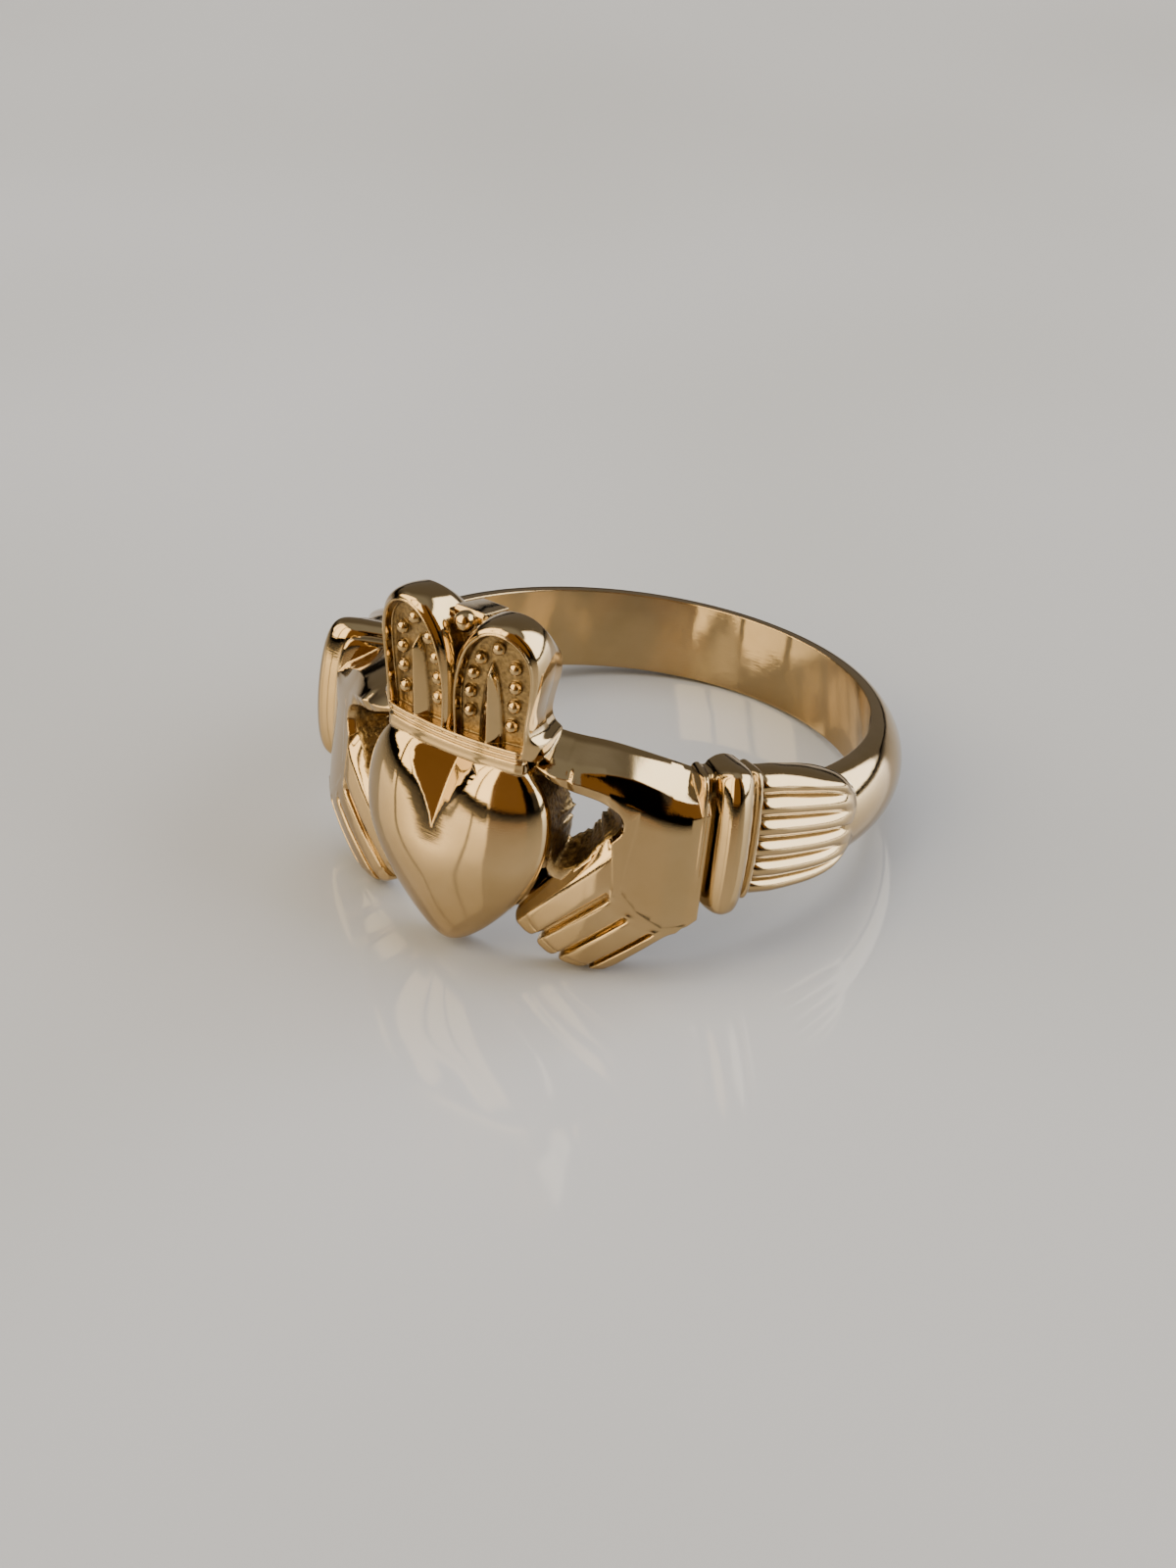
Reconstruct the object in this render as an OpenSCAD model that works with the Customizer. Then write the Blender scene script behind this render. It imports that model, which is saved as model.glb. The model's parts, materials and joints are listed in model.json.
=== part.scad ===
/* [Band] */
// Diameter of the finger hole
bore_d = 19; // [16:0.25:22]
// Width of the band at its back
band_w = 3.3; // [2.4:0.1:4.5]
// Width of the band at its sides
side_w = 3.6; // [2.6:0.1:4.8]
// Thickness of the band at its back
band_t = 1.3; // [1:0.05:1.8]
// Thickness of the band at its sides
side_t = 1.55; // [1.2:0.05:2.2]
// Thickness left on the edges of the band
edge_t = 0.5; // [0.2:0.05:0.8]

/* [Heart] */
// Width of the heart
heart_w = 8.2; // [6.5:0.1:9.5]
// Height of the heart from its tip to the top of its lobes
heart_h = 8.2; // [6.5:0.1:9.5]
// Drop of the heart's tip below the middle of the band
heart_drop = 5.4; // [4.4:0.1:6.4]
// Thickness of the heart at the top of its dome
heart_t = 3.05; // [2.4:0.05:3.8]
// Thickness of the heart's rim
heart_rim_t = 1.8; // [1.2:0.05:2.2]
// Depth of the cleft between the lobes
cleft_d = 0.9; // [0.3:0.05:1.2]

/* [Crown] */
// Width of the crown
crown_w = 7.1; // [5.6:0.1:8.4]
// Height of the crown above its band
crown_h = 5; // [4:0.1:6.2]
// Height of the band under the crown
crown_band_h = 1.1; // [0.7:0.05:1.5]
// Thickness of the crown at its foot
crown_t = 2.25; // [1.8:0.05:2.8]
// How much further out the top of the crown stands
crown_lean = 0.7; // [0:0.05:1.2]
// Depth of the sunk panel in each half of the crown
panel_d = 0.4; // [0.2:0.05:0.6]
// Diameter of the beads in the panels
bead_d = 0.45; // [0.3:0.05:0.6]
// Diameter of the ball between the halves
ball_d = 0.8; // [0.6:0.05:1.1]

/* [Hands] */
// Distance round the ring from the middle of the heart to the wrist
wrist_x = 9.7; // [9:0.1:11]
// Height of the wrist
wrist_h = 4.9; // [4:0.1:5.8]
// Thickness of the back of the hand
palm_t = 1.75; // [1.4:0.05:2.2]
// Thickness of the thumb
thumb_t = 2.1; // [1.7:0.05:2.6]
// Thickness of the fingertips
fingertip_t = 0.9; // [0.6:0.05:1.1]
// Share of the opening beside the heart that is left at the finger hole
opening_draft = 0.62; // [0.5:0.02:0.9]

/* [Cuffs and sleeves] */
// Width of the cuff round the ring
cuff_w = 2.4; // [1.9:0.1:3]
// Height of the cuff
cuff_h = 5.8; // [4.8:0.1:6.8]
// Thickness of the cuff's bead
cuff_t = 2.45; // [2:0.05:3.1]
// Length of the sleeve round the ring
sleeve_l = 5; // [4:0.1:6]
// Height of the sleeve where it leaves the cuff
sleeve_h = 5.1; // [4.2:0.1:6]
// Number of pleats in the sleeve
pleats = 6; // [4:1:8]
// Depth of the pleats
pleat_d = 0.4; // [0.2:0.05:0.6]

/* [Hidden] */

bore_r = bore_d / 2;
// Distances round the ring are measured on the face of the head, at this radius
face_r = 1.2 * bore_r;
// The pieces of the head start about this far inside the finger hole, which is cut last, and each at a
// depth of its own, so that no two of them share a wall there
root = 1;
heart_top = heart_h - heart_drop;
// The crown's band overlaps the tops of the heart's lobes by a third of its height
crown_foot = heart_top + crown_band_h * 2 / 3;
head_h = crown_foot + crown_h + heart_drop;
// The cuff and the sleeve stand a little above the middle of the band
cuff_z = 0.08 * cuff_h;
sleeve_z = 0.05 * sleeve_h;

// The hand reaches from the edge of the heart to the wrist, and the thumb rises with the foot of the crown
hand_w = wrist_x - heart_w / 2;
thumb_lift = 2.2 * (crown_foot - 0.72 * wrist_h);

// The ring lies on the back of its band and on the last fingertip of each hand, which reaches this far
fingertip_x = heart_w / 2 + 0.41 * hand_w;
fingertip_drop = 0.985 * heart_drop;
lean = atan((fingertip_drop - band_w / 2) / (bore_r * cos(turn(fingertip_x)) + bore_r + edge_t));

// Columns: share of the heart's half width, share of its height
HEART = [[0.42, 1], [0.7, 0.98], [0.87, 0.91], [0.97, 0.79], [1, 0.67], [0.96, 0.53],
         [0.85, 0.39], [0.66, 0.245], [0.43, 0.12], [0.2, 0.033], [0, 0]];
heart_middle = [0, 0.6];
// The sides of the heart slope out by this towards the finger hole
flank = 1.15;
// Shares of the heart's outline, from its middle to its rim
HEART_RINGS = [0.18, 0.36, 0.54, 0.7, 0.83, 0.92, 0.97, 1];

// Columns: share of the crown's half width, share of its height
LOBE = [[0.02, -0.14], [-0.02, 0.28], [0, 0.53], [0.08, 0.72], [0.2, 0.88], [0.37, 0.97], [0.55, 1],
        [0.72, 0.97], [0.88, 0.89], [0.98, 0.76], [1, 0.62], [0.95, 0.42], [0.9, 0.22], [0.92, -0.14]];
lobe_middle = [0.47, 0.46];
// Columns: share of the lobe's outline, drop below the crown's face as a share of the panel's depth
LOBE_RINGS = [[0.3, 1], [0.73, 1], [0.78, 0.1], [0.82, 0], [0.86, 0.2], [0.93, 0.6], [0.98, 1.4], [1, 2.4]];
// Columns: share of the crown's half width, share of its height
BEADS = [[0.5, 0.77], [0.68, 0.65], [0.69, 0.49], [0.68, 0.33], [0.66, 0.16],
         [0.31, 0.66], [0.23, 0.51], [0.2, 0.35], [0.2, 0.18]];
// Columns: share of the panel's height, half width as a share of the crown's half width
LEAF = [[-0.02, 0.13], [0.2, 0.12], [0.42, 0.1], [0.6, 0.06], [0.68, 0.02]];

// Columns: share of the hand's width from the heart, then shares of the wrist's height above the middle of
// the band of the bottom edge, the lower and upper edges of the bevel and the top edge, share of the
// thickness, share of that at the bottom edge
THUMB = [[-0.14, 0.5, 0.58, 0.65, 0.76, 0.85, 0.8], [-0.07, 0.44, 0.54, 0.63, 0.75, 1.02, 0.8],
         [0.06, 0.4, 0.55, 0.59, 0.74, 1, 0.8], [0.31, 0.3, 0.5, 0.58, 0.73, 0.93, 0.8],
         [0.46, 0.1, 0.43, 0.57, 0.7, 0.86, 0.8]];
PALM = [[0.57, -0.7, 0.39, 0.55, 0.69, 1.02, 0.45], [0.72, -0.78, 0.31, 0.5, 0.65, 1.03, 0.8],
        [0.86, -0.62, 0.29, 0.42, 0.6, 0.98, 0.8], [1.02, -0.45, 0.33, 0.43, 0.55, 0.92, 0.8]];

// The lines between the fingers: knuckle and tip, each as a share of the hand's width from the heart and of
// the heart's drop
FINGERS = [[0.48, 0.2, -0.29, -0.69], [0.44, -0.33, -0.08, -0.84], [0.57, -0.475, 0.085, -0.945],
           [0.75, -0.58, 0.32, -0.99], [0.91, -0.56, 0.52, -0.97]];
// Columns: share of the fingers' length, share of the drop to the fingertips' thickness, depth of the grooves
// as a share of the thickness, share of the length by which the grooves are shorter. The first row lies
// inside the finger hole
FINGER_ROWS = [[1.01, 3.2, 0, 0.08], [1, 1, 0.4, 0.08], [0.94, 0.9, 0.38, 0.03], [0.82, 0.8, 0.34, 0.01],
               [0.6, 0.55, 0.3, 0], [0.3, 0.25, 0.24, 0], [0, 0, 0.12, 0], [-0.12, 0.15, 0.02, 0]];

// Columns: share of the hand's width from the heart, share of the wrist's height
OPENING = [[-0.14, 0.54], [-0.16, 0.42], [-0.08, 0.28], [-0.01, 0.08], [0, -0.14], [0.02, -0.29],
           [0.08, -0.32], [0.17, -0.27], [0.29, -0.1], [0.39, 0.06], [0.47, 0.17], [0.46, 0.28],
           [0.36, 0.37], [0.22, 0.42], [0.07, 0.46], [-0.04, 0.51]];
opening_middle = [0.19, 0.14];

// Columns: share of the cuff's width, share of its thickness, share of its height
CUFF = [[-0.12, 0.4, 0.82], [-0.02, 0.75, 0.88], [0.05, 0.58, 0.86], [0.14, 0.57, 0.86], [0.25, 0.78, 0.93],
        [0.36, 0.96, 0.98], [0.5, 1, 1], [0.64, 0.95, 0.98], [0.74, 0.78, 0.93], [0.8, 0.62, 0.88],
        [0.9, 0.68, 0.87], [1, 0.5, 0.84]];

// Columns: share of the sleeve's length, share of its height, share of the thickness of the band's sides,
// share of the depth of the pleats
SLEEVE = [[0.01, 0.98, 0.85, 1], [0.15, 1, 0.88, 1], [0.35, 0.98, 0.92, 0.9], [0.55, 0.93, 0.98, 0.65],
          [0.72, 0.87, 1.06, 0.35], [0.84, 0.8, 1.08, 0.12], [0.94, 0.72, 1, 0], [1.02, 0.62, 0.78, 0]];

function turn(x) = x / face_r * 180 / PI;

// The point x round the ring, z above the middle of the band and t out from the wall of the finger hole
function at(x, z, t) = [(bore_r + t) * sin(turn(x)), -(bore_r + t) * cos(turn(x)), z];

// The same for a share of the hand's width from the heart and a share of the wrist's height
function on_hand(s, h, t) =
    at(heart_w / 2 + s * hand_w, h * wrist_h + thumb_lift * max(0, 0.5 - s) * max(0, h), t);

function mean(points, k) = [for (p = points) 1] * [for (p = points) p[k]] / len(points);

// The point a share s of the way from b to c on the smooth curve through a, b, c and d
function between(a, b, c, d, s) =
    0.5 * (2 * b + (c - a) * s + (2 * a - 5 * b + 4 * c - d) * s * s + (3 * b - a - 3 * c + d) * s * s * s);

// The smooth closed curve through the points, with each stretch in this many steps
function closed_curve(points, steps) =
    let (n = len(points))
    [for (i = [0 : n - 1], s = [0 : steps - 1])
        between(points[(i + n - 1) % n], points[i], points[(i + 1) % n], points[(i + 2) % n], s / steps)];

// A share of the height of a rounded crest, 1 in its middle and 0 at its edges, where s is -1 and 1
function crest(s, power) = sqrt(max(0, 1 - pow(abs(s), power)));

// The closed solid through rings that all have the same number of points
module skin(rings) {
    n = len(rings[0]);
    last = len(rings) - 1;
    ends = [for (ring = [rings[0], rings[last]]) [for (k = [0 : 2]) mean(ring, k)]];
    points = [each [for (ring = rings) each ring], each ends];
    sides = [for (i = [0 : last - 1], j = [0 : n - 1])
        let (a = i * n + j, b = i * n + (j + 1) % n)
        each [[a, b + n, b], [a, a + n, b + n]]];
    caps = [for (j = [0 : n - 1])
        let (k = (j + 1) % n)
        each [[len(points) - 2, j, k], [len(points) - 1, last * n + k, last * n + j]]];
    polyhedron(points = points, faces = concat(sides, caps));
}

module both_sides() {
    children();
    mirror([1, 0, 0]) children();
}

// A barrel-faced hoop whose edges and thickness taper towards its back, open in front where the head goes
module band() {
    shift = side_t - band_t;
    outer_r = bore_r + side_t;
    rise = side_t - edge_t;
    face_arc_r = (rise * rise + side_w * side_w / 4) / (2 * rise);
    slope = (side_w - band_w) / 2 / bore_r;
    reach = 2 * bore_r;
    front = -bore_r * cos(turn(wrist_x + cuff_w + 0.78 * sleeve_l));
    front_half = side_w / 2 - front * slope;
    back_half = side_w / 2 - reach * slope;
    intersection() {
        translate([0, -shift, 0])
        rotate_extrude($fn = 120)
        intersection() {
            translate([outer_r - face_arc_r, 0]) circle(r = face_arc_r, $fn = 60);
            translate([bore_r - root, -side_w]) square([side_t + 2 * root, 2 * side_w]);
        }
        rotate([90, 0, 90])
        linear_extrude(height = 2 * reach, center = true)
        polygon([[front, -front_half], [reach, -back_half], [reach, back_half], [front, front_half]]);
    }
}

// The cuff is a bead round the wrist with a thin ridge on each side. The sleeve's pleats run round the ring,
// deep at the cuff and fading into the band
module cuff_and_sleeve() {
    steps = 4 * pleats;
    cuff = [for (row = CUFF)
        let (x = wrist_x + row[0] * cuff_w, half = row[2] * cuff_h / 2)
        [at(x, cuff_z + half * 0.94, -0.75 * root),
         for (k = [0 : steps])
            let (angle = 180 * k / steps)
            at(x, cuff_z + half * cos(angle), cuff_t * row[1] * (0.3 + 0.7 * pow(sin(angle), 0.45))),
         at(x, cuff_z - half * 0.94, -0.75 * root)]];
    sleeve = [for (row = SLEEVE)
        let (x = wrist_x + cuff_w + row[0] * sleeve_l, z = sleeve_z * (1 - row[0]),
             half = row[1] * sleeve_h / 2, t = row[2] * side_t)
        [at(x, z + half * 0.9, -0.75 * root),
         for (k = [0 : steps])
            let (s = 1 - 2 * k / steps, fold = pow(abs(sin(180 * pleats * k / steps)), 0.8))
            at(x, z + half * s, t * (0.45 + 0.55 * crest(s, 3)) - pleat_d * row[3] * (1 - fold)),
         at(x, z - half * 0.9, -0.75 * root)]];
    skin(concat(cuff, sleeve));
}

// A flat back, a bevel that leans back above it and a top that slopes to the finger hole
module hand_back() {
    rows = concat([for (row = THUMB) [row, thumb_t]], [for (row = PALM) [row, palm_t]]);
    skin([for (pair = rows)
        let (row = pair[0], x = row[0], t = row[5] * pair[1])
        [on_hand(x, row[4], -0.95 * root), on_hand(x, row[4], 0.15 * t),
         on_hand(x, row[3], 0.76 * t), on_hand(x, row[2], t),
         on_hand(x, row[1] * 0.75 + row[2] * 0.25, t * (1 + row[6]) / 2),
         on_hand(x, row[1], t * row[6]), on_hand(x, row[1], -0.95 * root)]]);
}

// Four tapered ridges with grooves between them, from the knuckles down to the fingertips
module fingers() {
    count = len(FINGERS) - 1;
    across = 4;
    function line(j, s) = [FINGERS[j][0] + (FINGERS[j][2] - FINGERS[j][0]) * s,
                           FINGERS[j][1] + (FINGERS[j][3] - FINGERS[j][1]) * s];
    function on_line(p, t) = at(heart_w / 2 + p[0] * hand_w, p[1] * heart_drop, t);
    skin([for (row = FINGER_ROWS)
        let (t = palm_t + (fingertip_t - palm_t) * row[1], edge_share = row[0] - row[3])
        [on_line(line(0, edge_share), -0.85 * root),
         for (k = [0 : across * count])
            let (j = min(count - 1, floor(k / across)), w = k / across - j, groove = abs(2 * w - 1),
                 share = row[0] - row[3] * pow(groove, 3),
                 p = line(j, share) * (1 - w) + line(j + 1, share) * w)
            on_line(p, t * (1 - row[2] * pow(groove, 2.5))),
         on_line(line(count, edge_share), -0.85 * root)]]);
}

// The hole through the hand beside the heart, with walls that slope in towards the finger hole
module opening() {
    outline = closed_curve(OPENING, 1);
    narrowing = (1 - opening_draft) / palm_t;
    tips = [for (t = [-1.1 * root, palm_t, 1.6 * palm_t]) [1 - (palm_t - t) * narrowing, t]];
    skin([for (tip = tips)
        [for (p = outline)
            let (q = opening_middle + (p - opening_middle) * tip[0])
            on_hand(q[0], q[1], tip[1])]]);
}

module hand() {
    difference() {
        union() {
            hand_back();
            fingers();
        }
        opening();
    }
}

// A puffed dome over a heart-shaped rim, with a cleft that widens upwards
module heart() {
    left = [for (i = [len(HEART) - 2 : -1 : 0]) [-HEART[i][0], HEART[i][1]]];
    outline = closed_curve(concat([[0, 0.95]], HEART, left), 2);
    function rim(z) = heart_rim_t * (0.55 + 0.45 * min(1, z / 0.4));
    function cleft(x, z) =
        let (open = max(0, z - 0.58) / 0.4)
        cleft_d * open * exp(-pow(x / (0.08 + 0.2 * open), 2));
    function rise(x, z) = (heart_t - heart_rim_t) * (1 - 0.5 * pow(z - 0.62, 2)) - cleft(x, z);
    function place(p, s) = heart_middle + (p - heart_middle) * s;
    function on_heart(q, t) = at(q[0] * heart_w / 2, q[1] * heart_h - heart_drop, t);
    skin([for (s = HEART_RINGS)
            [for (p = outline)
                let (q = place(p, s))
                on_heart(q, rim(q[1]) + rise(q[0], q[1]) * crest(s, 3))],
          [for (p = outline) on_heart([flank * p[0], p[1]], -root)]]);
}

function crown_face(z) = crown_t + crown_lean * z;

function on_crown(q, t) = at(q[0] * crown_w / 2, crown_foot + q[1] * crown_h, t);

// Half of the crown: a thick rounded lobe with a sunk panel inside a raised fillet
module lobe() {
    outline = closed_curve(LOBE, 2);
    skin([for (ring = LOBE_RINGS)
            [for (p = outline)
                let (q = lobe_middle + (p - lobe_middle) * ring[0])
                on_crown(q, crown_face(q[1]) - panel_d * ring[1])],
          [for (p = outline) on_crown(p, -0.9 * root)]]);
}

// A tapered rib up the middle of a panel, with a sharp crest
module leaf() {
    skin([for (row = LEAF)
        let (t = crown_face(row[0]))
        [on_crown([0.48 - row[1], row[0]], t - 2 * panel_d), on_crown([0.48, row[0]], t - 0.1 * panel_d),
         on_crown([0.48 + row[1], row[0]], t - 2 * panel_d)]]);
}

// A row of beads round each side of a leaf, half sunk in the panel
module beads() {
    for (p = BEADS)
        translate(on_crown(p, crown_face(p[1]) - panel_d)) sphere(d = bead_d, $fn = 8);
}

// Two rounded mouldings with a groove between them
module crown_band() {
    low = crown_foot - crown_band_h;
    skin([for (x = [-0.96, -0.9, -0.45, 0, 0.45, 0.9, 0.96])
        let (t = crown_t + (abs(x) > 0.95 ? -0.3 : 0.1))
        [for (p = [[1, -0.8 * root], [1, t - 0.17], [0.85, t], [0.6, t], [0.5, t - 0.1], [0.4, t], [0.15, t],
                   [0, t - 0.2], [0, -0.8 * root]])
            at(x * crown_w / 2, low + p[0] * crown_band_h, p[1])]]);
}

// A ball in front of a small block, in the notch between the halves of the crown
module finial() {
    z = crown_foot + 0.86 * crown_h;
    skin([for (x = [-0.8, 0.8])
        [for (p = [[0.4, -0.7 * root], [0.55, crown_t * 0.75], [-1.2, crown_t * 0.75], [-1.2, -0.7 * root]])
            at(x * ball_d, z + p[0] * ball_d, p[1])]]);
    translate(at(0, z, crown_t * 0.8)) sphere(d = ball_d, $fn = 12);
}

module head() {
    heart();
    crown_band();
    finial();
    both_sides() {
        lobe();
        leaf();
        beads();
        hand();
        cuff_and_sleeve();
    }
}

// The whole ring is one casting, lying on its side as it rests
module claddagh_ring() {
    color("gold")
    rotate([-lean, 0, 0])
    difference() {
        union() {
            band();
            resize([0, 0, head_h])
            difference() {
                head();
                // Trims the roots to one plain wall, inside the finger hole
                cylinder(r = bore_r - 0.4 * root, h = 3 * head_h, center = true, $fn = 90);
            }
        }
        cylinder(r = bore_r, h = 3 * head_h, center = true, $fn = 120);
    }
}

claddagh_ring();
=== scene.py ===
"""A claddagh ring in polished yellow gold, lying on its side on a pale glossy floor.

The ring is one casting. Its forms are worked out in the ring's own directions, in millimetres: x is the
distance round the ring from the middle of the heart, measured on the face of the head, z the height above the
middle of the band, and t the distance out from the wall of the finger hole. Closed forms are fused, the finger
hole is cut, and the result is tilted as the ring lies.
"""
import json
import math

import bpy
import numpy as np
from mathutils import Matrix, Vector


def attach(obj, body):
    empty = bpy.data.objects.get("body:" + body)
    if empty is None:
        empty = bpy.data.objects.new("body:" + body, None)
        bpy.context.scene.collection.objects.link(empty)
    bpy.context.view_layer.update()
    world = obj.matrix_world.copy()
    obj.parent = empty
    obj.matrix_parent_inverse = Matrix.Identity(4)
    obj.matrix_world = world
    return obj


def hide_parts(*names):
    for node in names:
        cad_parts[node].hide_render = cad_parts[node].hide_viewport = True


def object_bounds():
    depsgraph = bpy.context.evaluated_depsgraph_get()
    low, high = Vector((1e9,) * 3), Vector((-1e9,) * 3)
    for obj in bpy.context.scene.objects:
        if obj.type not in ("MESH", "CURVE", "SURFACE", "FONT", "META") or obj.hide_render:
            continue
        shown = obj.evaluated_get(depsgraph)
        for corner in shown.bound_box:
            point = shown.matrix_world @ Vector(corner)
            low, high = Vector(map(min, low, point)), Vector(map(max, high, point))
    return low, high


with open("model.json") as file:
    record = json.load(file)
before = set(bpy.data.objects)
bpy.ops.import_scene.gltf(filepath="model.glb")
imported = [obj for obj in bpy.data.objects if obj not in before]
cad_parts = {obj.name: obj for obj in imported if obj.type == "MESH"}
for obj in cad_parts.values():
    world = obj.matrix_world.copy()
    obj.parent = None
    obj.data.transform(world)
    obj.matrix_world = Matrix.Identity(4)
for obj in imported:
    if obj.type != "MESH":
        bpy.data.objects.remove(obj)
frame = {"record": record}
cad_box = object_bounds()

MM = 0.001
# In millimetres: an edge shorter than this is a leftover of the cuts
SHORTEST = 0.0035

# Sizes of the ring in millimetres, as in the part. A root is how far a form reaches into the finger hole before
# the hole is cut, and the face's radius is where distances round the head are measured
BORE_R = 9.5
FACE_R = 1.2 * BORE_R
ROOT = 1.0
BAND_W, SIDE_W, BAND_T, SIDE_T, EDGE_T = 3.3, 3.6, 1.3, 1.55, 0.5
HEART_W, HEART_H, HEART_DROP, HEART_T, RIM_T = 8.2, 8.2, 5.4, 2.9, 1.75
CROWN_H, CROWN_T, CROWN_LEAN, PANEL_D = 5.0, 2.25, 0.7, 0.46
BEAD_D, BALL_D, BALL_Z = 0.52, 0.8, 7.5
WRIST_X, WRIST_H, PALM_T = 9.7, 4.9, 1.75
CUFF_W, CUFF_H, CUFF_T, SLEEVE_L, SLEEVE_H = 2.4, 5.8, 2.45, 5.0, 5.1
PLEATS, PLEAT_D = 6, 0.4
CROWN_FOOT = HEART_H - HEART_DROP + 1.1 * 2 / 3
HAND_W = WRIST_X - HEART_W / 2
# Heights of the heart's middle, of its outline's low point between the lobes and, downwards, of its tip
HEART_MIDDLE = 0.6 * HEART_H - HEART_DROP
LOBES_MEET, TIP = 0.25 * BORE_R, 0.57 * BORE_R

axis = frame["record"]["mounts"][0]["axis"]
LEAN = math.atan2(axis[1], axis[2])


# Curves and closed forms


def at(x, z, t):
    """The point x round the ring, z up and t out of the finger hole's wall: the angle is x over the face's
    radius, and the radius is the hole's plus t."""
    x, z, t = np.broadcast_arrays(np.asarray(x, float), z, t)
    angle, r = x / FACE_R, BORE_R + t
    return np.stack([r * np.sin(angle), -r * np.cos(angle), z], -1)


def through(knots, values, where):
    """The curve through the values at the knots, read at the places in where: cubic between two knots, with the
    harmonic mean of the slopes at its sides, so that it never overshoots."""
    k, v = np.asarray(knots, float), np.asarray(values, float).reshape(len(knots), -1)
    where = np.asarray(where, float)
    gap = np.diff(k)[:, None]
    rise = np.diff(v, axis=0) / gap
    a, b = rise[:-1], rise[1:]
    same = a * b > 0
    wa, wb = 2 * gap[1:] + gap[:-1], gap[1:] + 2 * gap[:-1]
    slope = np.vstack([rise[:1], np.zeros_like(a), rise[-1:]])
    slope[1:-1][same] = ((wa + wb) / (wa / np.where(same, a, 1) + wb / np.where(same, b, 1)))[same]
    i = np.clip(np.searchsorted(k, where, "right") - 1, 0, len(k) - 2)
    h = gap[i]
    s = (where - k[i])[:, None] / h
    return (
        (2 * s**3 - 3 * s**2 + 1) * v[i]
        + (s**3 - 2 * s**2 + s) * h * slope[i]
        + (3 * s**2 - 2 * s**3) * v[i + 1]
        + (s**3 - s**2) * h * slope[i + 1]
    )


def spline(points, count, closed=False):
    """Count points at even steps along the cubic spline through the points, whose bend is continuous. A closed
    one joins its ends the same way."""
    p = np.asarray(points, float)
    if closed:
        p = np.vstack([p, p[:1]])
    d = np.r_[0, np.cumsum(np.linalg.norm(np.diff(p, axis=0), axis=1))]
    h, n = np.diff(d), len(d)
    steep = np.diff(p, axis=0) / h[:, None]
    m, right = np.zeros((n, n)), np.zeros_like(p)
    inner = np.arange(1, n - 1)
    m[inner, inner - 1], m[inner, inner], m[inner, inner + 1] = h[:-1], 2 * (h[:-1] + h[1:]), h[1:]
    # The bend at each point: a line of equations for each, and the ends' own two
    right[1:-1] = 6 * np.diff(steep, axis=0)
    m[0, 0] = 1
    if closed:
        m[0, -1] = -1
        m[-1, 0], m[-1, 1], m[-1, -2] = 2 * (h[-1] + h[0]), h[0], h[-1]
        right[-1] = 6 * (steep[0] - steep[-1])
    else:
        m[-1, -1] = 1
    bend = np.linalg.solve(m, right)
    # 40 places for each stretch, to measure the length along
    u = np.linspace(0, d[-1], 40 * n)
    i = np.clip(np.searchsorted(d, u, "right") - 1, 0, n - 2)
    a, b, hi = (d[i + 1] - u)[:, None], (u - d[i])[:, None], h[i][:, None]
    fine = (
        (bend[i] * a**3 + bend[i + 1] * b**3) / (6 * hi)
        + (p[i] / hi - bend[i] * hi / 6) * a
        + (p[i + 1] / hi - bend[i + 1] * hi / 6) * b
    )
    length = np.r_[0, np.cumsum(np.linalg.norm(np.diff(fine, axis=0), axis=1))]
    steps = np.linspace(0, length[-1], count + 1 if closed else count)[:count]
    return np.stack([np.interp(steps, length, fine[:, c]) for c in range(fine.shape[1])], -1)


def between(points, steps):
    """The open line through the points with each stretch in this many equal steps."""
    p = np.asarray(points, float)
    k = np.arange(len(p))
    u = np.linspace(0, len(p) - 1, (len(p) - 1) * steps + 1)
    return np.stack([np.interp(u, k, p[:, c]) for c in range(p.shape[1])], -1)


def smoothstep(x, low, high):
    """0 below low, 1 above high, and 3s squared less 2s cubed between them."""
    s = np.clip((x - low) / (high - low), 0, 1)
    return s * s * (3 - 2 * s)


def skin(rings):
    """The closed form through rings of points, an array of rows by places by 3. Each end is closed by a fan to
    the mean of its ring."""
    rings = np.asarray(rings, float)
    rows, n, _ = rings.shape
    points = np.vstack([rings.reshape(-1, 3), rings[0].mean(0), rings[-1].mean(0)])
    j = np.arange(n)
    k = (j + 1) % n
    i = n * np.arange(rows - 1)[:, None]
    quads = np.stack([i + j, i + k, i + n + k, i + n + j], -1).reshape(-1, 4)
    last = n * (rows - 1)
    fans = np.vstack([
        np.stack([np.full(n, rows * n), k, j], -1),
        np.stack([np.full(n, rows * n + 1), last + j, last + k], -1),
    ])
    return outward(points, quads, fans)


def outward(points, quads, fans):
    """The same form with its faces turned outwards: the volume is the sum of the signed tetrahedra on them."""
    tris = np.vstack([quads[:, [0, 1, 2]], quads[:, [0, 2, 3]], fans])
    a, b, c = (points[tris[:, q]] for q in range(3))
    if np.einsum("ij,ij->i", a, np.cross(b, c)).sum() < 0:
        quads, fans = quads[:, ::-1], fans[:, ::-1]
    return points, quads, fans


def mirrored(form):
    """The form on the other side of the heart."""
    points, quads, fans = form
    return points * [-1, 1, 1], quads[:, ::-1], fans[:, ::-1]


def together(*forms):
    """Forms that don't touch, as one."""
    points, quads, fans, shift = [], [], [], 0
    for p, q, f in forms:
        points.append(p)
        quads.append(q + shift)
        fans.append(f + shift)
        shift += len(p)
    return np.vstack(points), np.vstack(quads), np.vstack(fans)


def both(form):
    """The form and its mirror image, which don't touch."""
    return together(form, mirrored(form))


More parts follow.
